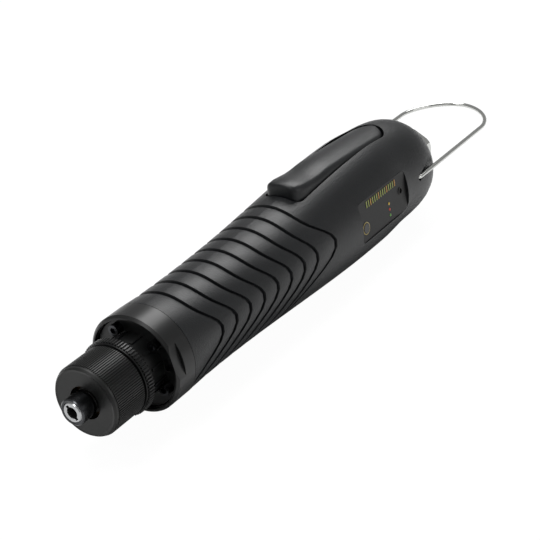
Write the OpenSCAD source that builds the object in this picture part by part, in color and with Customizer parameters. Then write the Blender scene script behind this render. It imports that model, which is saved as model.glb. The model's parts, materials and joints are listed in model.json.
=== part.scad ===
// Electric torque screwdriver, assembled from its separate pieces.
// X runs along the tool from the mouth of the bit chuck to the cable end, and Z is up, lever side.
// Angles round the tool start at the top and turn towards the panel side, which faces -Y.

/* [Bit chuck and sleeve] */
// Radius of the bore that takes the screwdriver bit
bit_r = 2.55; // [1.9:0.05:3.3]
// Depth of the bit bore
bit_depth = 9; // [7:0.5:10]
// Width of the two slots for the bit's wings
wing_w = 1.5; // [1:0.1:1.8]
// Outer radius of the chuck
chuck_r = 4.5; // [4:0.1:5]
// Outer radius of the release sleeve
sleeve_r = 5.9; // [5.8:0.1:6.4]
// Travel of the release sleeve
sleeve_travel = 2.5; // [1.5:0.1:3]

/* [Torque knob and lock ring] */
// Distance from the chuck mouth to the knob's face
knob_setback = 7.6; // [6:0.2:10]
// Length of the knob
knob_len = 18.8; // [16:0.2:22]
// Radius of the knob over its knurl
knob_r = 16; // [15:0.1:16.6]
// Number of grooves in the knurl
knob_knurls = 100; // [60:4:120]
// Radius of the lock ring over its teeth
lock_r = 17.1; // [16.4:0.1:18]
// Width of the lock ring
lock_w = 3.3; // [2.5:0.1:4]
// Number of teeth on the lock ring
lock_teeth = 72; // [48:4:90]
// Travel of the spring seat over the knob's whole range
seat_travel = 5; // [3:0.5:6]

/* [Collar and flange] */
// Radius of the front collar
collar_r = 22.4; // [22.1:0.1:23]
// Length of the front collar
collar_len = 12.1; // [11:0.1:14]
// Depth of the spanner flats on the collar
flat_depth = 1.3; // [0.8:0.1:1.6]
// Length of the spanner flats from the front rim
flat_len = 5.2; // [4:0.2:6]
// Radius of the hub in front of the flange
hub_r = 13.8; // [13.4:0.1:14]
// Thickness of the flange
flange_t = 5; // [4:0.5:6]
// Number of flange screws
flange_screws_n = 5; // [3:1:6]
// Radius of the flange screws' circle
screw_circle_r = 16.7; // [16.6:0.1:17]

/* [Housing] */
// Length of the two half shells behind the collar
housing_len = 224.6; // [215:0.5:235]
// Radius at the slim front of the grip
grip_r = 22; // [21.8:0.1:22.6]
// Radius at the widest part of the housing
belly_r = 26.6; // [25.6:0.1:28]
// Height that the top ridge adds under the lever
ridge_h = 4.8; // [3:0.2:5]
// Depth of the flat strip along the underside
belly_flat = 0.4; // [0.2:0.1:0.6]
// Thickness of the shell's wall
wall_t = 2.2; // [1.8:0.1:2.6]

/* [Grip grooves] */
// Number of grooves
groove_n = 9; // [6:1:9]
// Distance from one groove to the next
groove_pitch = 10.4; // [10:0.1:10.6]
// Depth of a groove
groove_depth = 1.3; // [0.6:0.1:1.5]
// How far a groove bends back on the side
bend_reach = 11; // [5:0.5:13]
// How far a groove sweeps forward underneath
bend_sweep = 17; // [8:0.5:20]

/* [Start lever] */
// Length of the lever
lever_len = 88; // [84:0.5:92]
// Width of the lever
lever_w = 18.6; // [16:0.2:20]
// Height of the lever's nose above the tool's axis
lever_nose_z = 33; // [31:0.1:34]
// Gap round the lever in its opening
lever_gap = 0.7; // [0.5:0.1:1]
// Angle that the lever moves through, in degrees
lever_swing = 1.8; // [1:0.1:2]

/* [Panel] */
// Length of the panel recess
panel_len = 47; // [42:0.5:50]
// Width of the panel recess
panel_w = 20.5; // [17:0.5:21]
// Number of strips in the torque display
strip_n = 15; // [9:1:17]
// Travel of the set button
button_travel = 0.6; // [0.3:0.1:0.8]

/* [Hanging bail] */
// Diameter of the bail's wire
bail_wire = 2.4; // [2:0.1:2.6]
// Length of the bail from its pivot to its far end
bail_len = 100.6; // [90:0.2:110]
// Distance between the bail's two legs
bail_gap = 48.6; // [48:0.1:49]
// Angle that the bail swings up through, in degrees
bail_swing = 14; // [8:1:15]

/* [Drive] */
// Module of the planetary gears
gear_module = 0.6; // [0.5:0.02:0.6]
// Width of the gears
gear_w = 6; // [4:0.5:7]
// Radius of the motor's case
can_r = 16; // [15:0.2:16.6]
// Length of the motor's case
can_len = 54; // [48:1:56]
// Radius of the motor's shaft
shaft_r = 2.5; // [2:0.1:2.6]
// Radius of the output spindle
spindle_r = 6; // [5.95:0.05:6.4]

/* [Cable socket] */
// Radius of the socket's threaded shell
socket_r = 8; // [6.5:0.1:8.6]
// Length of the socket that stands out of the housing
socket_out = 12.6; // [10.5:0.1:14]
// Distance across the nut's corners
nut_corners = 26.8; // [22:0.2:27]

/* [Hidden] */
$fn = 72;

// Clearances: a running fit, a loose gap between neighbours, and the overlap of a clean cut
fit = 0.06;
gap = 0.3;
cut = 1;

// Front end, from the chuck's mouth backwards
chuck_face_x = 0;
wing_angle = -40;
shoulder_x = knob_setback + 3.3;
sleeve_len = shoulder_x - sleeve_travel - gap;
spring_room_r = chuck_r + 0.85;
knob_wall = 4;
knob_end_x = knob_setback + knob_len;
knob_bore_r = 12.6;
knob_hole_r = sleeve_r + 1.5;
tube_r = knob_bore_r - 0.4;
tube_bore_r = 9.6;
tube_x = knob_setback + knob_wall + 0.7;
lock_x = knob_end_x + 1.1;
hub_x = lock_x + lock_w + 2;
collar_x = hub_x + 6.7;
flange_x = collar_x + 2.5;
flange_end_x = flange_x + flange_t;
screw_r = 1.5;
screw_head_r = 2.5;
screw_head_h = 3.8;
collar_bore_r = collar_r - 2;
housing_x = collar_x + collar_len;
housing_end_x = housing_x + housing_len;
bush_len = 4;
seat_x = tube_x + bush_len + 1;
seat_t = 3;
lug_w = 4;

// Clutch and gears
washer_t = 1.2;
disc_trip = 0.8;
disc_x = flange_end_x + disc_trip + gap;
disc_t = 4;
disc_r = 13.4;
key_w = 1.6;
key_r = spindle_r + 1;
ball_r = 1.8;
ball_circle_r = 10.8;
ball_n = 6;
ball_gap = 1.2;
ball_x = disc_x + disc_t + ball_gap / 2;
carrier_x = disc_x + disc_t + ball_gap;
carrier_t = 4;
gear_x = carrier_x + carrier_t + 0.4;
gear_end_x = gear_x + gear_w;
sun_teeth = 12;
planet_teeth = 18;
ring_teeth = sun_teeth + 2 * planet_teeth;
planet_n = 3;
planet_circle_r = gear_module * (sun_teeth + planet_teeth) / 2;
planet_pin_r = 1.6;
tooth_out = 0.8 * gear_module;
tooth_in = 1.15 * gear_module;
backlash = 0.08;
case_r = grip_r - groove_depth - wall_t - 0.1;
case_bore_r = case_r - 1.3;
case_front_r = 14.2;
case_front_t = 4;
case_end_x = gear_end_x + 3;
seat_bore_r = case_r + 0.2;

// Motor
can_x = case_end_x + 3;
cap_t = 3;
can_wall = 1.1;
can_end_x = can_x + can_len;
motor_end_x = can_end_x + cap_t;
bearing_r = shaft_r + 3;
bearing_w = 2.6;
magnet_r = 8.4;
air_gap = 0.6;
coil_n = 6;

// Outline of the two shells
flare_len = 12;
flare_h = max(0, collar_r - grip_r);
swell_x = housing_x + 18.3;
swell_end_x = housing_x + 153.3;
ridge_x = housing_x + 58.3;
ridge_top_x = housing_x + 173.3;
ridge_down_x = housing_x + 176.3;
ridge_end_x = housing_end_x + 13.7;
taper_x = housing_x + 165.3;
taper_end_x = housing_end_x - 36.3;
taper_h = 1.15;
round_x = housing_end_x - 41.3;
tip_x = housing_end_x + 0.6;
groove_x = housing_x + 11.4;
bend_at = 77;
chevron_end_x = housing_x + 163.3;
angle_step = 7.5;

// Start lever, its pivot and its switch
lever_x = housing_x + 104.3;
lever_end_x = lever_x + lever_len;
lever_floor_z = 22;
lever_pivot_x = lever_end_x - 6;
lever_pivot_z = 18.5;
lever_pin_r = 1.5;
lug_half_w = 4.6;
nose_corner_r = 4.5;
opening_floor_z = 13;
switch_x = lever_pivot_x - 33;
switch_len = 16;
switch_h = 8;
shelf_z = 9.4;
shelf_t = 2;
plunger_top_z = 20.6;
lever_spring_x = switch_x - 20;

// Control board behind the panel
board_x = round_x - 58.2;
board_len = 52;
board_h = 25;
board_y = -15.6;
board_t = 1.6;
board_holes = [board_x + 4, board_x + board_len - 4];
board_hole_z = 3 - board_h / 2;
board_post_y = 22;
board_can_r = 4;
board_can_h = 9;
board_can_pitch = 10;
chip_x = board_x + 36;
chip_size = [6, 2.2, 9];
chip_pitch = 8;

// Panel, on a plane set square to panel_angle
panel_x = round_x - 50;
panel_mid_x = panel_x + panel_len / 2;
panel_angle = 84;
panel_depth_r = 23.6;
panel_up = 1;
panel_corner_r = 3;
plate_t = 0.8;
strip_pitch = 2;
strip_up = 7.2;
button_back = 5.5;
button_r = 2.5;
button_up = -3.8;
small_button_r = 1.1;
small_button_up = 1.1;
lamp_top = -0.8;
lamp_pitch = 3;

// Hanging bail
bail_x = round_x + 11;
bail_z = 3.7;
bail_r = bail_wire / 2;
bail_y = bail_gap / 2;
bail_loop = 27.4;
bail_bend_r = 2;
slot_floor_y = bail_y - bail_bend_r - 0.1;
hook_end_y = bail_y - bail_r - 4.5;

// Cable socket
socket_washer_t = 1.7;
nut_t = 6.6;
socket_in = 9;
thread_r = socket_r - 0.5;
nut_end_x = housing_end_x + socket_washer_t + nut_t;

function ease(a, b, x) = let (t = max(0, min(1, (x - a) / (b - a)))) t * t * (3 - 2 * t);

// A piece turned about the tool's axis from [radius, x] points
module turned(profile) rotate([0, 90, 0]) rotate_extrude() polygon(profile);

// A ring with its two outer edges broken by c
function ring(r_in, r_out, x0, x1, c = 0.2) = [[r_in, x0], [r_out - c, x0], [r_out, x0 + c],
    [r_out, x1 - c], [r_out - c, x1], [r_in, x1]];

// A round bar along the tool's axis
module bar_x(r, x0, x1) translate([x0, 0, 0]) rotate([0, 90, 0]) cylinder(r = r, h = x1 - x0);

// A round bar across the tool, from y0 to y1
module bar_y(r, x, z, y0, y1) translate([x, y0, z]) rotate([-90, 0, 0]) cylinder(r = r, h = y1 - y0);

// Turns a piece from the top round to the given angle
module at_angle(a) rotate([a, 0, 0]) children();

// A disc with straight teeth or knurls on its rim, along the tool's axis
module toothed_bar(r, depth, count, share, x0, x1)
    translate([x0, 0, 0]) rotate([0, 90, 0]) linear_extrude(x1 - x0) polygon([for (i = [0:count - 1],
        p = [[0, r - depth], [0.5 - share / 2, r - depth], [0.5, r], [0.5 + share / 2, r]])
            let (a = 360 * (i + p[0]) / count) [p[1] * cos(a), p[1] * sin(a)]]);

// A coil spring along +Z of wire radius wr, with a flat start and end
function coil_point(mean_r, height, turns, wr, t, s) = let (
    a = 360 * turns * t,
    z = wr + (height - 2 * wr) * ease(0, 1, t),
    r = mean_r + wr * cos(s))
    [r * cos(a), r * sin(a), z + wr * sin(s)];

module coil(mean_r, height, turns, wr, per_turn = 14, sides = 6) {
    steps = round(turns * per_turn);
    points = [for (i = [0:steps], k = [0:sides - 1])
        coil_point(mean_r, height, turns, wr, i / steps, 360 * k / sides)];
    walls = [for (i = [0:steps - 1], k = [0:sides - 1]) let (m = (k + 1) % sides)
        each [[i * sides + k, i * sides + m, (i + 1) * sides + m],
            [i * sides + k, (i + 1) * sides + m, (i + 1) * sides + k]]];
    polyhedron(points, concat(walls, [[for (k = [sides - 1:-1:0]) k]],
        [[for (k = [0:sides - 1]) steps * sides + k]]), convexity = 8);
}

// Involute gears: half the angle of a tooth at radius r, and its outline
pressure = 20;
function inv(a) = tan(a) * 180 / PI - a;
function tooth_half(n, m, r, slack) = let (rp = n * m / 2, rb = rp * cos(pressure))
    90 / n - slack / rp * 90 / PI + inv(pressure) - (r > rb ? inv(acos(rb / r)) : 0);
function gear_outline(n, m, r_root, r_tip, slack) = let (
    rb = n * m / 2 * cos(pressure),
    r_low = max(r_root, rb),
    rim = [r_root, (2 * r_low + r_tip) / 3, (r_low + 2 * r_tip) / 3, r_tip])
    [for (i = [0:n - 1], side = [-1, 1], k = [0:3]) let (
        r = rim[side < 0 ? k : 3 - k],
        a = 360 * i / n + side * tooth_half(n, m, r, slack)) [r * cos(a), r * sin(a)]];

module gear(n, slack) linear_extrude(gear_w)
    polygon(gear_outline(n, gear_module, n * gear_module / 2 - tooth_in, n * gear_module / 2 + tooth_out,
        slack));

// ---- Nose ----

module bit_sleeve() color("#1d1e1e")
    turned([[chuck_r + fit, 0.3], [sleeve_r - 0.5, 0], [sleeve_r, 0.5], [sleeve_r, sleeve_len - 0.3],
        [sleeve_r - 0.3, sleeve_len], [spring_room_r, sleeve_len], [spring_room_r, sleeve_len / 2],
        [chuck_r + fit, sleeve_len / 2]]);

module sleeve_spring() color("#9a9c9e")
    translate([sleeve_len / 2 + 0.05, 0, 0]) rotate([0, 90, 0])
        coil((chuck_r + spring_room_r) / 2, shoulder_x - sleeve_len / 2 - 0.1, 4, 0.28, 12, 5);

module bit_chuck() color("#d8dadc") difference() {
    turned([[0, chuck_face_x], [chuck_r - 0.4, chuck_face_x], [chuck_r, chuck_face_x + 0.4],
        [chuck_r, shoulder_x], [0, shoulder_x]]);
    bar_x(bit_r, chuck_face_x - cut, chuck_face_x + bit_depth);
    at_angle(wing_angle) translate([chuck_face_x - cut, -wing_w / 2, -bit_r - 0.9])
        cube([cut + 3.4, wing_w, 2 * (bit_r + 0.9)]);
}

module output_spindle() color("#a4a7aa") {
    turned([[0, shoulder_x], [spindle_r - 0.3, shoulder_x], [spindle_r, shoulder_x + 0.3],
        [spindle_r, disc_x + disc_t + 0.4], [3, disc_x + disc_t + 0.4], [3, carrier_x + carrier_t - 0.6],
        [0, carrier_x + carrier_t - 0.6]]);
    translate([disc_x, -key_w / 2, -key_r]) cube([disc_t, key_w, 2 * key_r]);
}

module torque_knob() color("#222423") difference() {
    union() {
        turned([[0, knob_setback + 0.5], [knob_r - 2.2, knob_setback + 0.2], [knob_r - 1.2, knob_setback],
            [knob_r - 0.5, knob_setback + 0.9], [knob_r - 0.4, knob_setback + 2], [0, knob_setback + 2]]);
        toothed_bar(knob_r, 0.45, knob_knurls, 0.5, knob_setback + 2, knob_end_x - 0.6);
        turned(ring(0, knob_r - 0.6, knob_end_x - 0.6, knob_end_x));
    }
    bar_x(knob_hole_r, knob_setback - cut, knob_end_x);
    bar_x(knob_bore_r, knob_setback + knob_wall, knob_end_x + cut);
}

module lock_ring() color("#2a2c2b") difference() {
    union() {
        toothed_bar(lock_r, 0.7, lock_teeth, 0.5, lock_x, lock_x + lock_w);
        turned(ring(0, lock_r - 0.9, lock_x - 0.5, lock_x + lock_w + 0.5));
    }
    bar_x(tube_r + fit, lock_x - cut, lock_x + lock_w + cut);
}

// Angle of flange screw i
function flange_angle(i) = -27 + 360 * i / flange_screws_n;

module nose_flange() color("#1b1c1c") difference() {
    union() {
        turned(ring(tube_bore_r, tube_r, tube_x, hub_x));
        turned([[tube_bore_r, hub_x], [hub_r - 0.8, hub_x], [hub_r, hub_x + 0.8], [hub_r, flange_x],
            [collar_bore_r - gap, flange_x], [collar_bore_r - gap, flange_end_x],
            [tube_bore_r, flange_end_x]]);
        for (i = [0:11]) at_angle(15 + 30 * i)
            translate([hub_x + 2, -0.7, hub_r - 1]) cube([flange_x - hub_x - 2, 1.4, 1.5]);
    }
    for (i = [0:flange_screws_n - 1]) at_angle(flange_angle(i)) translate([0, 0, screw_circle_r]) {
        bar_x(screw_r + 0.2, flange_x - cut, flange_end_x + cut);
        bar_x(screw_head_r + 0.15, hub_x, flange_x + 0.01);
    }
    for (a = [81, 225]) at_angle(a)
        translate([flange_x - cut, -2.6, hub_r + 0.5]) cube([cut + 2.6, 5.2, 4.6]);
    for (a = [0, 180]) at_angle(a)
        translate([tube_x + bush_len, -lug_w / 2 - 0.2, tube_bore_r - 1])
            cube([seat_t + seat_travel + 2, lug_w + 0.4, tube_r - tube_bore_r + 2]);
}

module nose_bush() color("#b08a4a")
    turned(ring(spindle_r + 0.05, tube_bore_r - 0.02, tube_x, tube_x + bush_len));

module spring_seat() color("#8d9092") {
    turned(ring(spindle_r + 0.4, tube_bore_r - 0.15, seat_x, seat_x + seat_t));
    for (a = [0, 180]) at_angle(a)
        translate([seat_x, -lug_w / 2, tube_bore_r - 1])
            cube([seat_t, lug_w, knob_bore_r - gap - tube_bore_r + 1]);
}

module clutch_spring() color("#73787c")
    translate([seat_x + seat_t + 0.05, 0, 0]) rotate([0, 90, 0])
        coil((spindle_r + tube_bore_r) / 2 + 0.2, disc_x - washer_t - seat_x - seat_t - 0.1, 5.5, 1.1, 14, 6);

module thrust_washer() color("#b4b7ba")
    turned(ring(spindle_r + 0.3, tube_bore_r - 0.3, disc_x - washer_t, disc_x));

// ---- Collar ----

module front_collar() color("#26292a") difference() {
    turned([[collar_bore_r, collar_x + 0.6], [collar_bore_r + 0.3, collar_x], [collar_r - 1.1, collar_x],
        [collar_r, collar_x + 1.1], [collar_r, housing_x - 0.25], [collar_r - 0.25, housing_x],
        [collar_bore_r, housing_x]]);
    for (a = [75, 255]) at_angle(a)
        translate([collar_x - cut, -20, collar_r - flat_depth]) cube([flat_len + cut, 40, 10]);
}

module flange_screws() color("#3a3c3e")
    for (i = [0:flange_screws_n - 1]) at_angle(flange_angle(i)) translate([0, 0, screw_circle_r])
        difference() {
            union() {
                bar_x(screw_head_r, flange_x - screw_head_h, flange_x);
                bar_x(screw_r, flange_x, flange_end_x + case_front_t - 0.5);
            }
            translate([flange_x - screw_head_h - cut, 0, 0]) rotate([0, 90, 0])
                cylinder(r = 1.45, h = cut + 1.6, $fn = 6);
        }

// ---- Clutch and planetary gears ----

module ball_ring(r) for (i = [0:ball_n - 1]) at_angle(360 * i / ball_n)
    translate([ball_x, 0, ball_circle_r]) sphere(r = r);

module clutch_disc() color("#8f9396") difference() {
    turned(ring(spindle_r + fit, disc_r, disc_x, disc_x + disc_t));
    translate([disc_x - cut, -key_w / 2 - 0.1, -key_r - 0.1])
        cube([disc_t + 2 * cut, key_w + 0.2, 2 * key_r + 0.2]);
    ball_ring(ball_r + 0.05);
}

module clutch_balls() color("#d5d8da") ball_ring(ball_r);

module planet_carrier() color("#85898c") difference() {
    union() {
        turned(ring(3.05, disc_r, carrier_x, carrier_x + carrier_t));
        for (i = [0:planet_n - 1]) at_angle(360 * i / planet_n) translate([0, 0, planet_circle_r])
            bar_x(planet_pin_r, carrier_x + carrier_t, gear_end_x + 0.4);
    }
    ball_ring(ball_r + 0.05);
}

module planet_gear(i) color("#6f7376")
    at_angle(360 * i / planet_n) translate([gear_x, 0, planet_circle_r]) rotate([0, 90, 0]) difference() {
        rotate(360 / planet_teeth / 2) gear(planet_teeth, backlash);
        translate([0, 0, -cut]) cylinder(r = planet_pin_r + fit, h = gear_w + 2 * cut);
    }
module planet_gear_1() planet_gear(0);
module planet_gear_2() planet_gear(1);
module planet_gear_3() planet_gear(2);

module sun_gear() color("#c2a35a")
    translate([gear_x, 0, 0]) rotate([0, 90, 0]) difference() {
        gear(sun_teeth, backlash);
        translate([0, 0, -cut]) cylinder(r = pinion_bore_r, h = gear_w + 2 * cut);
    }
pinion_bore_r = 1.5;

module ring_gear() color("#5c6063")
    translate([gear_x, 0, 0]) rotate([0, 90, 0]) difference() {
        cylinder(r = case_bore_r - 0.02, h = gear_w);
        translate([0, 0, -cut]) rotate(360 / ring_teeth / 2) linear_extrude(gear_w + 2 * cut)
            polygon(gear_outline(ring_teeth, gear_module, ring_teeth * gear_module / 2 - tooth_out,
                ring_teeth * gear_module / 2 + tooth_in, -backlash));
    }

module gear_case() color("#3d4144") difference() {
    turned([[case_front_r, flange_end_x], [case_r, flange_end_x], [case_r, case_end_x],
        [bearing_r + 1, case_end_x], [bearing_r + 1, gear_end_x + 0.6], [case_bore_r, gear_end_x + 0.6],
        [case_bore_r, flange_end_x + case_front_t], [case_front_r, flange_end_x + case_front_t]]);
    for (i = [0:flange_screws_n - 1]) at_angle(flange_angle(i)) translate([0, 0, screw_circle_r])
        bar_x(screw_r, flange_end_x - cut, flange_end_x + case_front_t + cut);
}

// ---- Motor ----

module motor_can() color("#777b7e") turned(ring(can_r - can_wall, can_r, can_x, can_end_x));

module motor_cap(x0, bearing_x) difference() {
    turned([[shaft_r + 0.5, x0], [can_r - 0.4, x0], [can_r, x0 + 0.4], [can_r, x0 + cap_t - 0.4],
        [can_r - 0.4, x0 + cap_t], [shaft_r + 0.5, x0 + cap_t]]);
    bar_x(bearing_r + 0.02, bearing_x, bearing_x + bearing_w);
}

module motor_front_cap() color("#54585a") motor_cap(can_x - cap_t, can_x - bearing_w);
module motor_rear_cap() color("#54585a") motor_cap(can_end_x, can_end_x);

module motor_bearings() color("#c4c7c9") for (x = [can_x - bearing_w, can_end_x])
    turned(ring(shaft_r + 0.02, bearing_r, x, x + bearing_w, 0.15));

stator_x = can_x + 6;
stator_end_x = can_end_x - 8;
stator_bore_r = magnet_r + air_gap;
module stator_core() color("#3f4345") difference() {
    bar_x(can_r - can_wall - 0.02, stator_x, stator_end_x);
    bar_x(stator_bore_r, stator_x - cut, stator_end_x + cut);
    for (i = [0:coil_n - 1]) at_angle(360 * i / coil_n)
        translate([stator_x - cut, -1.9, stator_bore_r - 2]) cube([stator_end_x - stator_x + 2 * cut, 3.8, 5.6]);
}

module stator_coils() color("#b4622e") for (i = [0:coil_n - 1]) at_angle(360 * i / coil_n)
    translate([stator_x - 2, -1.75, stator_bore_r + 0.2]) cube([stator_end_x - stator_x + 4, 3.5, 3.2]);

module rotor_magnet() color("#2f3335") turned(ring(shaft_r + 0.02, magnet_r, stator_x + 1, stator_end_x - 1));

module motor_shaft() color("#c9ccce")
    turned([[0, gear_x - 0.2], [pinion_bore_r, gear_x - 0.2], [pinion_bore_r, gear_end_x + 0.2],
        [shaft_r, gear_end_x + 0.2], [shaft_r, motor_end_x - 0.6], [0, motor_end_x - 0.6]]);

// ---- Housing shells ----

function body_radius(x) = (grip_r + flare_h * (1 - ease(housing_x, housing_x + flare_len, x))
    + (belly_r - grip_r) * ease(swell_x, swell_end_x, x) - taper_h * ease(taper_x, taper_end_x, x))
    * pow(1 - pow(max(0, (x - round_x) / (tip_x - round_x)), 4), 0.36);

function section_radius(x, a) = body_radius(x)
    + ridge_h * ease(ridge_x, ridge_top_x, x) * (1 - ease(ridge_down_x, ridge_end_x, x))
    * pow(max(0, cos(a)), 3);

// How far behind the top of its line a groove runs at angle a
function chevron(a) = bend_reach * exp(-pow((a - bend_at) / (a < bend_at ? 27 : 22), 2))
    - bend_sweep * ease(85, 140, a);

// Rows of the shell's surface: [x at the top, depth below the surface, share of the chevron]
groove_rows = [for (i = [0:groove_n - 1], g = [[-2.8, 0], [-0.8, 0.35], [-0.6, 1], [0.4, 1], [0.75, 0]])
    [groove_x + i * groove_pitch + g[0], g[1] * groove_depth, i < groove_n - 1 ? 1 : 1.45]];
last_groove_x = groove_x + (groove_n - 1) * groove_pitch;
smooth_n = 12;
smooth_rows = [for (i = [1:smooth_n]) let (
    x = last_groove_x + 2 + (round_x - last_groove_x - 2) * i / smooth_n)
    [x, 0, 1.45 * (1 - ease(last_groove_x, chevron_end_x, x))]];
round_n = 10;
round_rows = [for (i = [1:round_n]) [round_x + (housing_end_x - round_x) * sin(90 * i / round_n), 0, 0]];
shell_rows = concat([[housing_x, 0, 0]], groove_rows, smooth_rows, round_rows);
angle_n = round(180 / angle_step);

function shell_point(i, a) = let (
    row = shell_rows[i],
    x = i == 0 ? housing_x : max(housing_x + 0.04 * i, row[0] + row[2] * chevron(a)),
    r = section_radius(x, a) - row[1] * ease(housing_x, housing_x + 4, x),
    floor_z = -body_radius(x) + belly_flat * (1 - ease(round_x, housing_end_x - 4, x)))
    [x, -r * sin(a), max(floor_z, r * cos(a))];

// The solid form of the panel side's half, before it is hollowed, with a skirt past the parting plane
skirt = [0, 2, 0];
module half_form() {
    m = angle_n + 3;
    last = len(shell_rows) - 1;
    points = [for (i = [0:last]) each concat([shell_point(i, 0) + skirt],
        [for (k = [0:angle_n]) shell_point(i, 180 * k / angle_n)], [shell_point(i, 180) + skirt])];
    skin = [for (i = [0:last - 1], k = [0:m - 1]) let (n = (k + 1) % m)
        each [[i * m + k, (i + 1) * m + k, (i + 1) * m + n], [i * m + k, (i + 1) * m + n, i * m + n]]];
    polyhedron(points, concat(skin, [[for (k = [0:m - 1]) k]], [[for (k = [m - 1:-1:0]) last * m + k]]),
        convexity = 6);
}

// The hollow inside both shells, with ribs that grip the motor
rib_r = can_r + 0.1;
rib_w = 2;
hollow_profile = [[0, housing_x - collar_len], [seat_bore_r, housing_x - collar_len],
    [seat_bore_r, case_end_x + 0.3], [rib_r, case_end_x + 0.3], [rib_r, can_x + rib_w],
    [seat_bore_r, can_x + rib_w], [seat_bore_r, can_end_x - rib_w - 4], [rib_r, can_end_x - rib_w - 4],
    [rib_r, can_end_x - 4], [seat_bore_r + 0.6, can_end_x - 4],
    [belly_r - wall_t - 1.6, swell_end_x - 18], [belly_r - wall_t - 1.6, taper_end_x - 20],
    [belly_r - wall_t - 2.9, round_x + 8], [belly_r - wall_t - 8, housing_end_x - 9],
    [socket_r + 3, housing_end_x - 4], [0, housing_end_x - 4]];

// Plan of the start lever, grown by g
module lever_plan(g) {
    translate([lever_end_x - lever_w / 2, 0]) circle(r = lever_w / 2 + g);
    translate([lever_x - g + nose_corner_r, -lever_w / 2 - g])
        square([lever_len - nose_corner_r - lever_w / 2 + g, lever_w + 2 * g]);
    translate([lever_x - g, -lever_w / 2 - g + nose_corner_r])
        square([nose_corner_r + 1, lever_w + 2 * g - 2 * nose_corner_r]);
    for (s = [-1, 1]) translate([lever_x - g + nose_corner_r, s * (lever_w / 2 + g - nose_corner_r)])
        circle(r = nose_corner_r);
}

// A rounded panel plate seen from outside, grown by g
module panel_plan(g) {
    r = panel_corner_r + g;
    hx = panel_len / 2 - panel_corner_r;
    hy = panel_w / 2 - panel_corner_r;
    square([2 * hx + 2 * r, 2 * hy], center = true);
    square([2 * hx, 2 * hy + 2 * r], center = true);
    for (i = [-1, 1], k = [-1, 1]) translate([i * hx, k * hy]) circle(r = r);
}

// Places a piece on the panel, u along the tool and v up from the panel's middle
module on_panel(u = 0, v = 0) at_angle(panel_angle)
    translate([panel_mid_x + u, panel_up + v, panel_depth_r]) children();

// Clamping screws of the two shells as [x, z]
screw_spots = [[can_end_x + 16, -14], [switch_x - 15, -18], [round_x + 17, -11.5], [round_x + 18, 13.5]];
post_r = 3.2;
tap_r = 1.1;
screw_in = 8;
screw_seat_y = 10;
screw_cap_r = 2.4;
screw_cap_h = 2.2;

// Depth of a post whose lowest edge ends inside the wall at height z
function post_len(x, z) = sqrt(pow(body_radius(x) - 0.9, 2) - pow(abs(z) + post_r, 2));

// Bore that the lever's pin is pressed into, through the post and into the wall behind it
module lever_pin_bore() bar_y(lever_pin_r + 0.02, lever_pivot_x, lever_pivot_z, -lever_pin_len / 2, 0);

// Slot that the bail's leg lies in, open at the rear
slot_w = bail_wire + 0.8;
slot_len = housing_end_x + 2 - bail_x;
module bail_slot() translate([0, -slot_floor_y, 0]) rotate([90, 0, 0]) linear_extrude(12) {
    translate([bail_x, bail_z]) circle(r = slot_w / 2);
    polygon([[bail_x, bail_z - bail_r - fit], [bail_x + slot_len, bail_z - bail_r - fit],
        [bail_x + slot_len, bail_z + slot_w / 2 + slot_len * tan(bail_swing + 2)], [bail_x, bail_z + slot_w / 2]]);
}

// Everything that both shells share, drawn for the panel side
module shell_half() {
    difference() {
        union() {
            half_form();
            intersection() {
                turned([[seat_bore_r, flange_end_x + gap], [collar_bore_r - 0.1, flange_end_x + gap],
                    [collar_bore_r - 0.1, housing_x + 0.5], [seat_bore_r, housing_x + 0.5]]);
                translate([0, -50, -50]) cube([housing_end_x, 50, 100]);
            }
        }
        translate([0, 0, -50]) cube([housing_end_x + cut, 50, 100]);
        turned(hollow_profile);
        translate([0, 0, opening_floor_z]) linear_extrude(40) lever_plan(lever_gap);
        bail_slot();
        bar_y(bail_r + fit, bail_x, bail_z, -40, -hook_end_y);
        bar_x(socket_r + fit, housing_end_x - 6, housing_end_x + cut);
        lever_pin_bore();
    }
    // Posts for the clamping screws, the lever's pin and the bail's hook
    difference() {
        union() {
            for (p = screw_spots) bar_y(post_r, p[0], p[1], -post_len(p[0], p[1]), 0);
            bar_y(3.1, lever_pivot_x, lever_pivot_z, -pin_post_y, -lug_half_w - gap);
            bar_y(3.2, bail_x, bail_z, -slot_floor_y + 0.02, -hook_end_y + 1.2);
            shelf();
        }
        lever_pin_bore();
        bar_y(bail_r + fit, bail_x, bail_z, -40, -hook_end_y);
    }
}
pin_post_y = 14.2;
lever_pin_len = 20;

// Shelf across the tool that carries the switch and the lever's spring
shelf_x = lever_spring_x - 5;
shelf_end_x = switch_x + switch_len / 2 + 2;
module shelf() intersection() {
    translate([shelf_x, -22.3, shelf_z]) cube([shelf_end_x - shelf_x, 22.3, shelf_t]);
    bar_x(belly_r - wall_t - 0.9, shelf_x - 1, shelf_end_x + 1);
}

module housing_left() color("#2b2d2f") difference() {
    union() {
        shell_half();
        for (x = board_holes) {
            bar_y(2.6, x, board_hole_z, -board_post_y, board_y - board_t);
            bar_y(1.2, x, board_hole_z, board_y - board_t - 0.1, board_y + 1);
        }
    }
    for (p = screw_spots) bar_y(tap_r, p[0], p[1], -screw_in - 2, cut);
    on_panel() translate([0, 0, 0]) linear_extrude(10) panel_plan(0);
    on_panel(-panel_len / 2 + button_back, button_up) translate([0, 0, -6]) cylinder(r = 3, h = 10);
    on_panel(panel_len / 2 - 6, small_button_up) translate([0, 0, -6]) cylinder(r = 1.9, h = 10);
}

module housing_right() color("#2b2d2f") mirror([0, 1, 0]) difference() {
    shell_half();
    for (p = screw_spots) {
        bar_y(tap_r + 0.3, p[0], p[1], -40, cut);
        bar_y(screw_cap_r + 0.3, p[0], p[1], -40, -screw_seat_y);
    }
}

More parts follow.
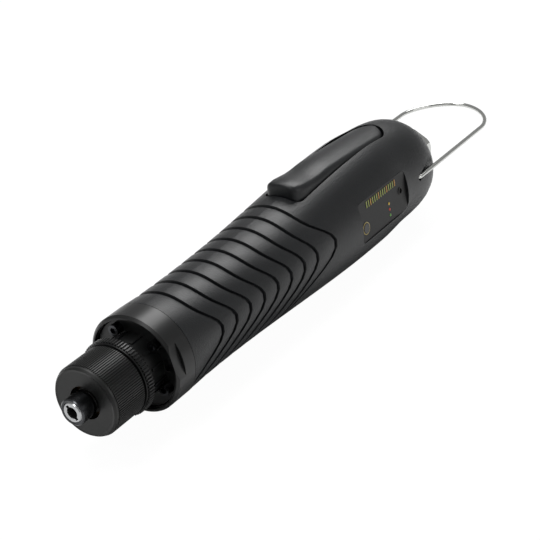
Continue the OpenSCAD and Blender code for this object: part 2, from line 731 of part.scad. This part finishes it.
module housing_screws() color("#33363a") for (p = screw_spots) difference() {
    union() {
        bar_y(tap_r, p[0], p[1], -screw_in, screw_seat_y);
        bar_y(screw_cap_r, p[0], p[1], screw_seat_y, screw_seat_y + screw_cap_h);
    }
    translate([p[0], screw_seat_y + screw_cap_h + cut, p[1]]) rotate([90, 0, 0]) cylinder(r = 1.2, h = cut + 1.2, $fn = 6);
}

// ---- Start lever and switch ----

// Height of the lever's top line, and its half width, at x
lever_end_z = body_radius(lever_end_x) + ridge_h * (1 - ease(ridge_down_x, ridge_end_x, lever_end_x)) - 0.3;
function lever_top(x) = lever_nose_z + (lever_end_z - lever_nose_z) * pow((x - lever_x) / lever_len, 1.6)
    - dish_depth * pow(sin(180 * max(0, min(1, (x - lever_x - 4) / dish_len))), 2);
dish_depth = 0.9;
dish_len = 28;
function lever_half_w(x) = let (
    nose = max(0, nose_corner_r - (x - lever_x)),
    tail = max(0, x - lever_end_x + lever_w / 2))
    x > lever_end_x - lever_w / 2 ? sqrt(max(0.2, pow(lever_w / 2, 2) - tail * tail))
    : lever_w / 2 - nose_corner_r + sqrt(pow(nose_corner_r, 2) - nose * nose);

// One section of the lever: flat underneath, rounded shoulders and a crowned top
top_edge_r = 2.2;
crown_r = 20;
section_n = 12;
function lever_section(x, drop) = let (
    w = lever_half_w(x), e = min(top_edge_r, w * 0.5), z = lever_top(x) - drop)
    concat([[x, -w, lever_floor_z], [x, w, lever_floor_z]],
        [for (k = [0:3]) let (a = 90 * k / 4, y = w - e + e * cos(a))
            [x, y, z - y * y / 2 / crown_r - e + e * sin(a)]],
        [for (k = [0:4]) let (y = (w - e) * (1 - k / 2)) [x, y, z - y * y / 2 / crown_r]],
        [for (k = [3:-1:0]) let (a = 90 * k / 4, y = w - e + e * cos(a))
            [x, -y, z - y * y / 2 / crown_r - e + e * sin(a)]]);
nose_edge = 1.7;
nose_rows = [for (k = [0:4]) let (a = 90 * k / 4)
    [lever_x + nose_edge * (1 - cos(a)), nose_edge * (1 - sin(a))]];
flat_n = 16;
flat_rows = [for (k = [1:flat_n])
    [lever_x + nose_edge + (lever_len - nose_edge - lever_w / 2) * k / flat_n, 0]];
tail_rows = [for (a = [15:15:75]) [lever_end_x - lever_w / 2 * (1 - sin(a)), 0]];
lever_rows = concat(nose_rows, flat_rows, tail_rows);

module lever_cap() {
    rows = [for (r = lever_rows) lever_section(r[0], r[1])];
    m = len(rows[0]);
    last = len(rows) - 1;
    sides = [for (i = [0:last - 1], k = [0:m - 1]) let (n = (k + 1) % m)
        each [[i * m + k, (i + 1) * m + n, i * m + n], [i * m + k, (i + 1) * m + k, (i + 1) * m + n]]];
    polyhedron([for (r = rows) each r], concat(sides, [[for (k = [0:m - 1]) k]],
        [[for (k = [m - 1:-1:0]) last * m + k]]), convexity = 4);
}

module start_lever() color("#303336") difference() {
    union() {
        lever_cap();
        translate([lever_pivot_x - 3.2, -lug_half_w, lever_pivot_z]) cube([6.4, 2 * lug_half_w, 5]);
        bar_y(3.2, lever_pivot_x, lever_pivot_z, -lug_half_w, lug_half_w);
        translate([switch_x - 3, -3, plunger_top_z + 0.05]) cube([6, 6, lever_floor_z - plunger_top_z + 1]);
    }
    bar_y(lever_pin_r + fit, lever_pivot_x, lever_pivot_z, -20, 20);
}

module lever_pin() color("#c3c6c8")
    bar_y(lever_pin_r, lever_pivot_x, lever_pivot_z, -lever_pin_len / 2, lever_pin_len / 2);

module lever_spring() color("#9a9c9e")
    translate([lever_spring_x, 0, shelf_z + shelf_t + 0.05])
        coil(3, lever_floor_z - shelf_z - shelf_t - 0.1, 5, 0.35, 12, 5);

module start_switch() color("#1f2a33") difference() {
    translate([switch_x - switch_len / 2, -3.2, shelf_z + shelf_t]) cube([switch_len, 6.4, switch_h]);
    translate([switch_x - 1.5, -1.5, shelf_z + shelf_t + switch_h - 3]) cube([3, 3, 3 + cut]);
}

module switch_plunger() color("#b3312a")
    translate([switch_x - 1.4, -1.4, shelf_z + shelf_t + switch_h - 1.5])
        cube([2.8, 2.8, plunger_top_z - shelf_z - shelf_t - switch_h + 1.5]);

// ---- Control board and panel ----

module control_board() color("#1f5a3a") difference() {
    translate([board_x, board_y - board_t, -board_h / 2 - 1]) cube([board_len, board_t, board_h - 6]);
    for (x = board_holes) bar_y(1.3, x, board_hole_z, board_y - 3, board_y + 1);
}

module board_parts() color("#3c3f43") {
    for (i = [0:2]) bar_y(board_can_r, board_x + 2 * board_can_r + board_can_pitch * i, 0,
        board_y, board_y + board_can_h);
    for (i = [0:1]) translate([chip_x + chip_pitch * i, board_y, -6]) cube(chip_size);
}

module panel_plate() color("#1c1d1e") on_panel() difference() {
    linear_extrude(plate_t) panel_plan(-0.15);
    translate([-panel_len / 2 + button_back, button_up, -cut]) cylinder(r = button_r + 0.1, h = 4);
    translate([panel_len / 2 - 6, small_button_up, -cut]) cylinder(r = small_button_r + 0.6, h = 4);
}

module torque_strips() color("#9db13c") for (i = [0:strip_n - 1])
    on_panel((i - (strip_n - 1) / 2) * strip_pitch - 1, strip_up)
        translate([-0.5, -1.8, plate_t]) cube([1, 3.6, 0.2]);

module status_lamps() color("#d8a531") for (i = [0:2])
    on_panel(5.5, lamp_top - lamp_pitch * i) translate([0, 0, plate_t]) cylinder(r = 0.7, h = 0.3);

module set_button() color("#2a2b2c") on_panel(-panel_len / 2 + button_back, button_up)
    translate([0, 0, -3.4]) cylinder(r = button_r, h = 3.4 + plate_t + 0.4);

module recessed_button() color("#3d3f41") on_panel(panel_len / 2 - 6, small_button_up)
    translate([0, 0, -3.4]) cylinder(r = small_button_r, h = 3.4 + plate_t - 0.4);

// ---- Hanging bail ----

// Centre line of the bail from one hook round to the other, in its own plane
leg_len = bail_len - bail_loop;
loop_n = 24;
loop_power = 1.13;
bail_side = concat(
    [[0, -hook_end_y - 0.4], [0, -bail_y + bail_bend_r]],
    [for (a = [30, 60, 90]) [bail_bend_r * (1 - cos(a)), -bail_y + bail_bend_r * (1 - sin(a))]],
    [[leg_len / 2, -bail_y]],
    [for (k = [0:loop_n / 2]) let (a = 90 * k / (loop_n / 2))
        [leg_len + bail_loop * pow(sin(a), loop_power), -bail_y * pow(cos(a), loop_power)]]);
bail_path = concat(bail_side, [for (i = [len(bail_side) - 2:-1:0]) [bail_side[i][0], -bail_side[i][1]]]);
wire_sides = 10;

module hanging_bail() color("#e2e4e6") translate([bail_x, 0, bail_z]) {
    n = len(bail_path);
    points = [for (i = [0:n - 1]) let (
        d = bail_path[min(n - 1, i + 1)] - bail_path[max(0, i - 1)],
        u = d / norm(d)) each [for (k = [0:wire_sides - 1]) let (a = 360 * k / wire_sides)
            [bail_path[i][0] - u[1] * bail_r * cos(a), bail_path[i][1] + u[0] * bail_r * cos(a), bail_r * sin(a)]]];
    walls = [for (i = [0:n - 2], k = [0:wire_sides - 1]) let (m = (k + 1) % wire_sides)
        each [[i * wire_sides + k, (i + 1) * wire_sides + m, i * wire_sides + m],
            [i * wire_sides + k, (i + 1) * wire_sides + k, (i + 1) * wire_sides + m]]];
    polyhedron(points, concat(walls, [[for (k = [0:wire_sides - 1]) k]],
        [[for (k = [wire_sides - 1:-1:0]) (n - 1) * wire_sides + k]]), convexity = 4);
}

// ---- Cable socket ----

module socket_washer() color("#cfd2d4")
    turned(ring(socket_r + 0.1, nut_corners / 2 - 0.9, housing_end_x, housing_end_x + socket_washer_t, 0.5));

module socket_nut() color("#d9dbdd")
    translate([housing_end_x + socket_washer_t, 0, 0]) rotate([0, 90, 0]) difference() {
        intersection() {
            cylinder(r = nut_corners / 2, h = nut_t, $fn = 6);
            rotate_extrude() polygon([[0, 0], [nut_corners / 2 - 1.2, 0], [nut_corners / 2, 1.2],
                [nut_corners / 2, nut_t - 1.2], [nut_corners / 2 - 1.2, nut_t], [0, nut_t]]);
        }
        translate([0, 0, -cut]) cylinder(r = socket_r + 0.02, h = nut_t + 2 * cut);
    }

module socket_shell() color("#c6c9cb")
    turned([[socket_r - 1.2, housing_end_x - socket_in], [socket_r, housing_end_x - socket_in],
        [socket_r, nut_end_x], [thread_r, nut_end_x], [thread_r, housing_end_x + socket_out - 0.5],
        [thread_r - 0.5, housing_end_x + socket_out],
        [socket_r - 1.2, housing_end_x + socket_out]]);

module socket_insert() color("#202122") {
    bar_x(socket_r - 1.22, housing_end_x - socket_in, housing_end_x + 2);
    for (i = [0:5]) at_angle(60 * i) translate([0, 0, 4])
        bar_x(0.5, housing_end_x + 1.9, housing_end_x + 8);
}

bit_sleeve();
sleeve_spring();
bit_chuck();
output_spindle();
torque_knob();
lock_ring();
nose_flange();
nose_bush();
spring_seat();
clutch_spring();
thrust_washer();
clutch_disc();
clutch_balls();
planet_carrier();
planet_gear_1();
planet_gear_2();
planet_gear_3();
sun_gear();
ring_gear();
gear_case();
flange_screws();
front_collar();
housing_left();
housing_right();
housing_screws();
motor_can();
motor_front_cap();
motor_rear_cap();
motor_bearings();
stator_core();
stator_coils();
rotor_magnet();
motor_shaft();
start_lever();
lever_pin();
lever_spring();
start_switch();
switch_plunger();
control_board();
board_parts();
panel_plate();
torque_strips();
status_lamps();
set_button();
recessed_button();
hanging_bail();
socket_washer();
socket_nut();
socket_shell();
socket_insert();
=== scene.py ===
# Electric torque screwdriver: finishes, smoothed outer pieces, bail, panel marks, lamps and camera
import bpy
import json
import math
from mathutils import Matrix, Vector


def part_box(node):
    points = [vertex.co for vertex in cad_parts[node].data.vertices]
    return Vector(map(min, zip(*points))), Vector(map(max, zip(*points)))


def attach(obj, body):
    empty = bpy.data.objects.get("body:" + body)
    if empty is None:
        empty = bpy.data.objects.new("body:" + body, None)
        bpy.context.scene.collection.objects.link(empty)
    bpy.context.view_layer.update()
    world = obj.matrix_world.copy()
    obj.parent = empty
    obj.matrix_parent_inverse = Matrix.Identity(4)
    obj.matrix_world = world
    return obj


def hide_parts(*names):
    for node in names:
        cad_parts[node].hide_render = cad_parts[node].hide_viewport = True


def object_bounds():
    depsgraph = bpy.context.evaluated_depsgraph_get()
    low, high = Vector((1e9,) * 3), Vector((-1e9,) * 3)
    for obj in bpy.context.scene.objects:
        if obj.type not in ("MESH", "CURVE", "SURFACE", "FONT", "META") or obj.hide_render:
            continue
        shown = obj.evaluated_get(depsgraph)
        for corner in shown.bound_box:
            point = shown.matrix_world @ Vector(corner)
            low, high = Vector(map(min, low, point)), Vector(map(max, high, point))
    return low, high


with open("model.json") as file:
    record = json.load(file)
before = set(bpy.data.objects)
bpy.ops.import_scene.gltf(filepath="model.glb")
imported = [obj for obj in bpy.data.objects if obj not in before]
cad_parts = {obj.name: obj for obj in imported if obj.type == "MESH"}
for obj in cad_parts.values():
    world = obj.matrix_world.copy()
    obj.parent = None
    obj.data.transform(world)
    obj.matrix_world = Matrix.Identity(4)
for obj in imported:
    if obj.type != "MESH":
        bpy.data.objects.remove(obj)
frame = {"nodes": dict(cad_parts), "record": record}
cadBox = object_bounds()
print("frame loaded")

mm = 0.001


def linearColour(hexColour):
    channels = [int(hexColour[i:i + 2], 16) / 255 for i in (1, 3, 5)]
    light = [c / 12.92 if c <= 0.04045 else ((c + 0.055) / 1.055) ** 2.4 for c in channels]
    return (*light, 1.0)


def addNode(tree, kind, settings, links):
    made = tree.nodes.new(kind)
    for name, value in settings.items():
        if name in made.inputs:
            made.inputs[name].default_value = value
        else:
            setattr(made, name, value)
    for name, (source, output) in links.items():
        tree.links.new(source.outputs[output], made.inputs[name])
    return made


def deselectAll():
    if bpy.context.object and bpy.context.object.mode != "OBJECT":
        bpy.ops.object.mode_set(mode="OBJECT")
    bpy.ops.object.select_all(action="DESELECT")


def makeActive(piece):
    deselectAll()
    piece.select_set(True)
    bpy.context.view_layer.objects.active = piece


def settle(piece):
    # puts the place into the mesh, so that the object itself stays at the origin
    makeActive(piece)
    bpy.ops.object.transform_apply(location=True, rotation=True, scale=True)


def finishPiece(piece, name, body, material):
    piece.name = name
    piece.data.name = name
    settle(piece)
    piece.data.materials.clear()
    piece.data.materials.append(material)
    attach(piece, body)
    return piece


def addModifier(piece, kind, **settings):
    modifier = piece.modifiers.new(kind.title(), kind)
    for key, value in settings.items():
        setattr(modifier, key, value)
    makeActive(piece)
    bpy.ops.object.modifier_apply(modifier=modifier.name)


def newMaterial(name, look):
    material = bpy.data.materials.new(name)
    material.use_nodes = True
    tree = material.node_tree
    shader = tree.nodes["Principled BSDF"]
    shader.inputs["Base Color"].default_value = linearColour(look["colour"])
    shader.inputs["Metallic"].default_value = look.get("metallic", 0)
    shader.inputs["Roughness"].default_value = look["roughness"]
    if "ior" in look:
        shader.inputs["IOR"].default_value = look["ior"]
    if "grainMm" in look:
        place = addNode(tree, "ShaderNodeTexCoord", {}, {})
        grain = addNode(tree, "ShaderNodeTexNoise", {"Scale": 1 / (look["grainMm"] * mm), "Detail": 2.0},
                        {"Vector": (place, "Object")})
        bump = addNode(tree, "ShaderNodeBump",
                       {"Strength": look["grainStrength"], "Distance": look["grainDepthMm"] * mm},
                       {"Height": (grain, "Fac")})
        tree.links.new(bump.outputs["Normal"], shader.inputs["Normal"])
    return material


finishes = {
    # moulded ABS with a fine spark-eroded grain: soft broken highlights, drawn a little coarse so that it shows
    "housingAbs": {"colour": "#0f1113", "roughness": 0.38, "ior": 1.42,
                   "grainMm": 0.6, "grainStrength": 0.7, "grainDepthMm": 0.18},
    # moulded nylon of the lever: the same grain, slightly smoother
    "leverNylon": {"colour": "#101214", "roughness": 0.38, "ior": 1.42,
                   "grainMm": 0.6, "grainStrength": 0.6, "grainDepthMm": 0.16},
    # turned acetal of the knob: smooth, dull black
    "knobAcetal": {"colour": "#0f100f", "roughness": 0.36, "ior": 1.42},
    # hard black anodised aluminium: satin, with brighter edges
    "anodisedAluminium": {"colour": "#0b0c0c", "roughness": 0.34, "ior": 1.45},
    # black oxide on ground steel: dark with a clear glint
    "blackOxideSteel": {"colour": "#48494b", "metallic": 1, "roughness": 0.24},
    # chromium plate: mirror bright
    "chromePlate": {"colour": "#b4b5b6", "metallic": 1, "roughness": 0.2},
    # nickel plate of the bail and the cable socket: grey with clear white glints
    "nickelPlate": {"colour": "#c6c7c4", "metallic": 1, "roughness": 0.1},
    # near black and dull, standing in for shade: painted shade in the bit bore, on the parts seen through the
    # knob's hole and in the gap round the recessed button
    "paintedShade": {"colour": "#161514", "roughness": 0.6, "ior": 1.5},
    # turned steel, lightly brushed
    "turnedSteel": {"colour": "#9b9ea1", "metallic": 1, "roughness": 0.32},
    # drawn spring wire
    "springWire": {"colour": "#3c3e40", "metallic": 1, "roughness": 0.4},
    # sintered bronze, slightly porous, drawn darker than its own colour as painted shade where the bush shows
    # inside the nose
    "sinteredBronzeShaded": {"colour": "#4d3c26", "metallic": 1, "roughness": 0.45},
    # enamelled winding wire
    "enamelledCopper": {"colour": "#a5542a", "metallic": 1, "roughness": 0.35},
    # solder mask on glass epoxy
    "solderMask": {"colour": "#1c5a38", "roughness": 0.35, "ior": 1.5},
    # smooth moulded black for switches and buttons
    "switchNylon": {"colour": "#18191a", "roughness": 0.35, "ior": 1.5},
    # red plunger of the switch
    "plungerNylon": {"colour": "#b0302a", "roughness": 0.35, "ior": 1.5},
    # printed polyester film over the panel: near black and fairly glossy
    "panelFilm": {"colour": "#070808", "roughness": 0.5, "ior": 1.4},
    # printed marks and lamp lenses on the film
    "printGreen": {"colour": "#939c48", "roughness": 0.4, "ior": 1.5},
    "printAmber": {"colour": "#b98a3c", "roughness": 0.4, "ior": 1.5},
    "printGold": {"colour": "#b9a768", "roughness": 0.4, "ior": 1.5},
    "lampRed": {"colour": "#c23a26", "roughness": 0.3, "ior": 1.5},
    "lampGreen": {"colour": "#5f9e3e", "roughness": 0.3, "ior": 1.5},
    "lampYellow": {"colour": "#d3b13c", "roughness": 0.3, "ior": 1.5},
}
materials = {name: newMaterial(name, look) for name, look in finishes.items()}

slotFinish = {
    "housing_black": "housingAbs", "lever_black": "leverNylon", "knob_black": "knobAcetal",
    "anodised_black": "anodisedAluminium", "black_oxide": "blackOxideSteel", "chrome": "chromePlate",
    "steel": "turnedSteel", "spring_steel": "springWire", "bronze": "sinteredBronzeShaded",
    "copper": "enamelledCopper", "board_green": "solderMask", "switch_black": "switchNylon",
    "switch_red": "plungerNylon", "panel_film": "panelFilm", "strip_green": "printGreen",
    "lamp_amber": "printAmber"}
slotOf = {part["node"]: part["material_slot"] for part in frame["record"]["subparts"]}
bodyOf = {node: body for body, nodes in frame["record"]["behaviour"]["bodies"].items() for node in nodes}

# seen through the knob's hole, these two are drawn near black in place of their own steel finish: painted shade
paintedShadeNodes = ("output_spindle", "sleeve_spring")
for node, piece in frame["nodes"].items():
    material = materials["paintedShade" if node in paintedShadeNodes else slotFinish[slotOf[node]]]
    piece.data.materials.clear()
    piece.data.materials.append(material)
print("materials set")


def selectEdges(piece, test):
    # picks the edges whose two ends both pass the test
    makeActive(piece)
    mesh = piece.data
    bpy.ops.object.mode_set(mode="EDIT")
    bpy.ops.mesh.select_mode(type="EDGE")
    bpy.ops.mesh.select_all(action="DESELECT")
    bpy.ops.object.mode_set(mode="OBJECT")
    for edge in mesh.edges:
        edge.select = all(test(mesh.vertices[i].co) for i in edge.vertices)
    bpy.ops.object.mode_set(mode="EDIT")


# only the skin's edge is broken, and not the edges of ribs and posts inside it
parting = {"near": 0.001 * mm, "searchR": 15 * mm, "skinR": 20.5 * mm, "break": 0.18 * mm}


def roundParting(piece):
    # breaks the outer edge of the parting face, so that the seam shows as a fine line
    def onParting(place):
        return abs(place.y) < parting["near"] and abs(place.z) > parting["searchR"]

    selectEdges(piece, onParting)
    mesh = piece.data
    bpy.ops.object.mode_set(mode="OBJECT")
    faces = {}
    for face in mesh.polygons:
        for key in face.edge_keys:
            faces.setdefault(key, []).append(abs(face.normal.y) > 0.99)
    skin = 0
    for edge in mesh.edges:
        sides = faces.get(edge.key, [])
        middle = (mesh.vertices[edge.vertices[0]].co + mesh.vertices[edge.vertices[1]].co) / 2
        deep = abs(middle.z) < parting["skinR"]
        edge.select = bool(edge.select and len(sides) == 2 and sides[0] != sides[1] and not deep)
        skin += edge.select
    bpy.ops.object.mode_set(mode="EDIT")
    bpy.ops.mesh.bevel(offset=parting["break"], offset_type="OFFSET", segments=1,
                       affect="EDGES", clamp_overlap=True)
    bpy.ops.object.mode_set(mode="OBJECT")
    print("parting edges broken:", skin)


def smoothCopy(node, name, angle, finish=None):
    piece = bpy.data.objects.new(name, frame["nodes"][node].data.copy())
    bpy.context.scene.collection.objects.link(piece)
    makeActive(piece)
    bpy.ops.mesh.customdata_custom_splitnormals_clear()
    bpy.ops.object.mode_set(mode="EDIT")
    bpy.ops.mesh.select_all(action="SELECT")
    bpy.ops.mesh.remove_doubles(threshold=0.002 * mm)
    bpy.ops.object.mode_set(mode="OBJECT")
    if node.startswith("housing"):
        roundParting(piece)
    bpy.ops.object.shade_smooth_by_angle(angle=math.radians(angle))
    slot = slotOf[node]
    finishPiece(piece, name, bodyOf[node], materials[finish or slotFinish[slot]])
    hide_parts(node)
    return piece


# each CAD node that gets a smooth copy: the copy's name, and the angle in degrees up to which it is smooth
smoothed = {
    "housing_left": ("shell_panel_side", 32), "housing_right": ("shell_far_side", 32),
    "start_lever": ("lever_body", 40), "front_collar": ("collar_ring", 25),
    "nose_flange": ("flange_hub", 25), "bit_sleeve": ("release_sleeve", 30),
    "bit_chuck": ("chuck_bore", 30), "socket_nut": ("socket_hex", 20),
    "socket_shell": ("socket_ring", 30), "socket_washer": ("socket_plate", 30),
    "set_button": ("set_key", 30)}
nickelPieces = ("socket_nut", "socket_shell", "socket_washer")
pieces = {node: smoothCopy(node, name, angle, "nickelPlate" if node in nickelPieces else None)
          for node, (name, angle) in smoothed.items()}


chuck = {"boreR": 3.6 * mm, "faceDepth": 0.02 * mm, "paintedShadeFrom": 1 * mm}


def paintChuckShade(piece):
    # the chuck keeps its plated mouth; the bore and the shank behind it are drawn near black as painted shade,
    # standing in for the shade inside the sleeve
    piece.data.materials.append(materials["paintedShade"])
    for face in piece.data.polygons:
        radius = math.hypot(face.center.y, face.center.z)
        inBore = face.center.x > chuck["faceDepth"] and radius < chuck["boreR"]
        if inBore or face.center.x > chuck["paintedShadeFrom"]:
            face.material_index = 1


paintChuckShade(pieces["bit_chuck"])
print("shells smoothed")


bail = {"loopLength": 27.4 * mm, "power": 1.13, "bend": 2 * mm, "hook": 4.1 * mm, "loopSteps": 28}


def buildBail():
    low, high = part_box("hanging_bail")
    wireR = (high.z - low.z) / 2
    pivotX = low.x + wireR
    height = (high.z + low.z) / 2
    halfGap = high.y - wireR
    endX = high.x - wireR
    legEnd = endX - bail["loopLength"]
    bend = bail["bend"]
    side = [(pivotX, halfGap - bail["hook"] - wireR), (pivotX, halfGap - bend)]
    for degrees in (15, 30, 45, 60, 75, 90):
        a = math.radians(degrees)
        side.append((pivotX + bend * (1 - math.cos(a)), halfGap - bend * (1 - math.sin(a))))
    side.append(((pivotX + legEnd) / 2, halfGap))
    for i in range(bail["loopSteps"] + 1):
        a = math.pi / 2 * i / bail["loopSteps"]
        side.append((legEnd + bail["loopLength"] * math.sin(a) ** bail["power"],
                     halfGap * max(0.0, math.cos(a)) ** bail["power"]))
    route = [(x, -y) for x, y in side] + [(x, y) for x, y in reversed(side[:-1])]
    bpy.ops.curve.primitive_bezier_curve_add(location=(0, 0, 0))
    wire = bpy.context.object
    wire.data.splines.clear()
    line = wire.data.splines.new("POLY")
    line.points.add(len(route) - 1)
    for point, (x, y) in zip(line.points, route):
        point.co = (x, y, height, 1)
    wire.data.bevel_depth = wireR * 0.995
    wire.data.bevel_resolution = 6
    wire.data.use_fill_caps = True
    makeActive(wire)
    bpy.ops.object.convert(target="MESH")
    bpy.ops.object.shade_smooth_by_angle(angle=math.radians(40))
    finishPiece(wire, "bail_wire", "bail", materials["nickelPlate"])
    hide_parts("hanging_bail")
    return wire


buildBail()
print("bail bent")


panel = {"angle": math.radians(84), "faceR": 24.4 * mm, "up": 1 * mm}
display = {"strips": 15, "pitch": 2 * mm, "up": 7.2 * mm, "shift": -1 * mm, "amberEvery": 4, "amberFrom": 2,
           "size": (0.7 * mm, 3.4 * mm, 0.2 * mm), "bevel": 0.06 * mm}
lamps = {"radius": 0.7 * mm, "flatness": 0.42, "shift": 5.5 * mm, "top": -0.8 * mm, "pitch": 3 * mm,
         "colours": ("lampYellow", "lampRed", "lampGreen")}
buttonRing = {"up": -3.8 * mm, "radius": 2.9 * mm, "wire": 0.22 * mm}
recessShadeRing = {"up": 1.1 * mm, "radius": 1.6 * mm, "wire": 0.4 * mm}
plateLow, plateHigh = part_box("panel_plate")
panelMiddleX = (plateLow.x + plateHigh.x) / 2


def onPanel(along, up, out):
    # a place on the panel: along the tool from its middle, up the panel and out of its face
    normal = Vector((0, -math.sin(panel["angle"]), math.cos(panel["angle"])))
    climb = Vector((0, math.cos(panel["angle"]), math.sin(panel["angle"])))
    return Vector((panelMiddleX + along, 0, 0)) + climb * (panel["up"] + up) + normal * (panel["faceR"] + out)


def buildStrips():
    # the bar display: green strips with an amber one at every fourth place
    for colour, isAmber in (("printGreen", False), ("printAmber", True)):
        made = []
        for i in range(display["strips"]):
            if (i % display["amberEvery"] == display["amberFrom"]) != isAmber:
                continue
            along = (i - (display["strips"] - 1) / 2) * display["pitch"] + display["shift"]
            place = onPanel(along, display["up"], display["size"][2] / 2)
            bpy.ops.mesh.primitive_cube_add(size=1, location=place, rotation=(panel["angle"], 0, 0),
                                            scale=display["size"])
            made.append(bpy.context.object)
        deselectAll()
        for piece in made:
            piece.select_set(True)
        bpy.context.view_layer.objects.active = made[0]
        bpy.ops.object.join()
        strips = finishPiece(made[0], "display_" + colour, "housing", materials[colour])
        addModifier(strips, "BEVEL", width=display["bevel"], segments=2)
        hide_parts("torque_strips")


def buildLamps():
    # three flat domes, one below the other
    for i, colour in enumerate(lamps["colours"]):
        place = onPanel(lamps["shift"], lamps["top"] - i * lamps["pitch"], 0)
        bpy.ops.mesh.primitive_uv_sphere_add(segments=24, ring_count=12, radius=lamps["radius"], location=place,
                                             rotation=(panel["angle"], 0, 0), scale=(1, 1, lamps["flatness"]))
        bpy.ops.object.shade_smooth()
        lamp = finishPiece(bpy.context.object, "lamp_" + str(i + 1), "housing", materials[colour])
        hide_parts("status_lamps")


def buildRing(button, name, ring, material):
    # a ring on the panel's face about the middle of a button: printed gold round the set button, and near black
    # round the recessed button as painted shade in the gap there
    low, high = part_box(button)
    along = (low.x + high.x) / 2 - panelMiddleX
    bpy.ops.mesh.primitive_torus_add(major_radius=ring["radius"], minor_radius=ring["wire"],
                                     major_segments=48, minor_segments=10, rotation=(panel["angle"], 0, 0),
                                     location=onPanel(along, ring["up"], 0.05 * mm))
    bpy.ops.object.shade_smooth()
    finishPiece(bpy.context.object, name, "housing", materials[material])


buildStrips()
buildLamps()
buildRing("set_button", "button_ring", buttonRing, "printGold")
# the dark ring is painted shade, standing in for the shadow in the gap round the recessed button
buildRing("recessed_button", "recess_shade_ring", recessShadeRing, "paintedShade")
print("panel marked")


view = {"azimuth": -55.196, "elevation": 27.098, "roll": -4.887, "distance": 649.087 * mm,
        "target": (142.264 * mm, 0, -5.016 * mm), "lens": 93.33}
studio = {"worldLevel": 0.18, "glossyShare": 0.22, "floorSize": 6.0, "floorColour": "#f4f4f4",
          "paperShare": 0.92, "paperLevel": 1.05}


def buildWorld():
    world = bpy.data.worlds.new("studio")
    bpy.context.scene.world = world
    world.use_nodes = True
    tree = world.node_tree
    tree.nodes.clear()
    rays = addNode(tree, "ShaderNodeLightPath", {}, {})
    soft = addNode(tree, "ShaderNodeBackground", {"Color": (1, 1, 1, 1), "Strength": studio["worldLevel"]}, {})
    white = addNode(tree, "ShaderNodeBackground", {"Color": (1, 1, 1, 1), "Strength": 1.0}, {})
    glossy = addNode(tree, "ShaderNodeMath", {"operation": "MULTIPLY"}, {})
    tree.links.new(rays.outputs["Is Glossy Ray"], glossy.inputs[0])
    glossy.inputs[1].default_value = studio["glossyShare"]
    seen = addNode(tree, "ShaderNodeMath", {"operation": "MAXIMUM"}, {})
    tree.links.new(rays.outputs["Is Camera Ray"], seen.inputs[0])
    tree.links.new(glossy.outputs[0], seen.inputs[1])
    mixed = addNode(tree, "ShaderNodeMixShader", {}, {"Fac": (seen, "Value")})
    tree.links.new(soft.outputs[0], mixed.inputs[1])
    tree.links.new(white.outputs[0], mixed.inputs[2])
    addNode(tree, "ShaderNodeOutputWorld", {}, {"Surface": (mixed, "Shader")})


def buildFloor():
    bpy.ops.mesh.primitive_plane_add(size=studio["floorSize"], location=(0.15, 0, cadBox[0].z))
    floor = bpy.context.object
    floor.name = "floor"
    material = bpy.data.materials.new("floorPaper")
    material.use_nodes = True
    tree = material.node_tree
    shader = tree.nodes["Principled BSDF"]
    shader.inputs["Base Color"].default_value = linearColour(studio["floorColour"])
    shader.inputs["Roughness"].default_value = 0.9
    rays = addNode(tree, "ShaderNodeLightPath", {}, {})
    white = addNode(tree, "ShaderNodeEmission", {"Color": (1, 1, 1, 1), "Strength": studio["paperLevel"]}, {})
    # the camera sees mostly white paper, with a share of the real shading left so that the shadow stays
    share = addNode(tree, "ShaderNodeMath", {"operation": "MULTIPLY"}, {})
    share.inputs[1].default_value = studio["paperShare"]
    tree.links.new(rays.outputs["Is Camera Ray"], share.inputs[0])
    mixed = addNode(tree, "ShaderNodeMixShader", {}, {"Fac": (share, "Value")})
    tree.links.new(shader.outputs[0], mixed.inputs[1])
    tree.links.new(white.outputs[0], mixed.inputs[2])
    tree.links.new(mixed.outputs[0], tree.nodes["Material Output"].inputs["Surface"])
    floor.data.materials.append(material)


def addLamp(name, place, size, power, target=(0.15, 0, 0)):
    bpy.ops.object.light_add(type="AREA", location=place)
    lamp = bpy.context.object
    lamp.name = name
    lamp.data.shape = "RECTANGLE"
    lamp.data.size, lamp.data.size_y = size
    lamp.data.energy = power
    lamp.rotation_euler = (Vector(target) - Vector(place)).to_track_quat("-Z", "Y").to_euler()


def buildCamera():
    az, el, roll = (math.radians(view[key]) for key in ("azimuth", "elevation", "roll"))
    back = Vector((math.sin(az) * math.cos(el), -math.cos(az) * math.cos(el), math.sin(el)))
    side = (-back).cross(Vector((0, 0, 1))).normalized()
    up = side.cross(-back)
    right = math.cos(roll) * side + math.sin(roll) * up
    top = -math.sin(roll) * side + math.cos(roll) * up
    place = Vector(view["target"]) + back * view["distance"]
    data = bpy.data.cameras.new("camera")
    data.lens = view["lens"]
    data.sensor_width = 36
    data.clip_start = 0.01
    camera = bpy.data.objects.new("camera", data)
    bpy.context.scene.collection.objects.link(camera)
    camera.matrix_world = Matrix((
        (right.x, top.x, back.x, place.x), (right.y, top.y, back.y, place.y),
        (right.z, top.z, back.z, place.z), (0, 0, 0, 1)))
    bpy.context.scene.camera = camera


buildWorld()
buildFloor()
for name, place, size, watts in (
        ("topSoftbox", (0.1, 0.25, 0.9), (0.7, 0.4), 5.5),
        ("panelSideSoftbox", (0.3, -0.9, 0.35), (0.6, 0.4), 1.2),
        ("rearSoftbox", (0.7, 0.1, 0.6), (0.4, 0.3), 3),
        ("noseSoftbox", (-0.7, 0.1, 0.7), (0.3, 0.3), 1.6)):
    addLamp(name, place, size, watts)
buildCamera()
bpy.context.scene.view_settings.view_transform = "Standard"
print("stage set")
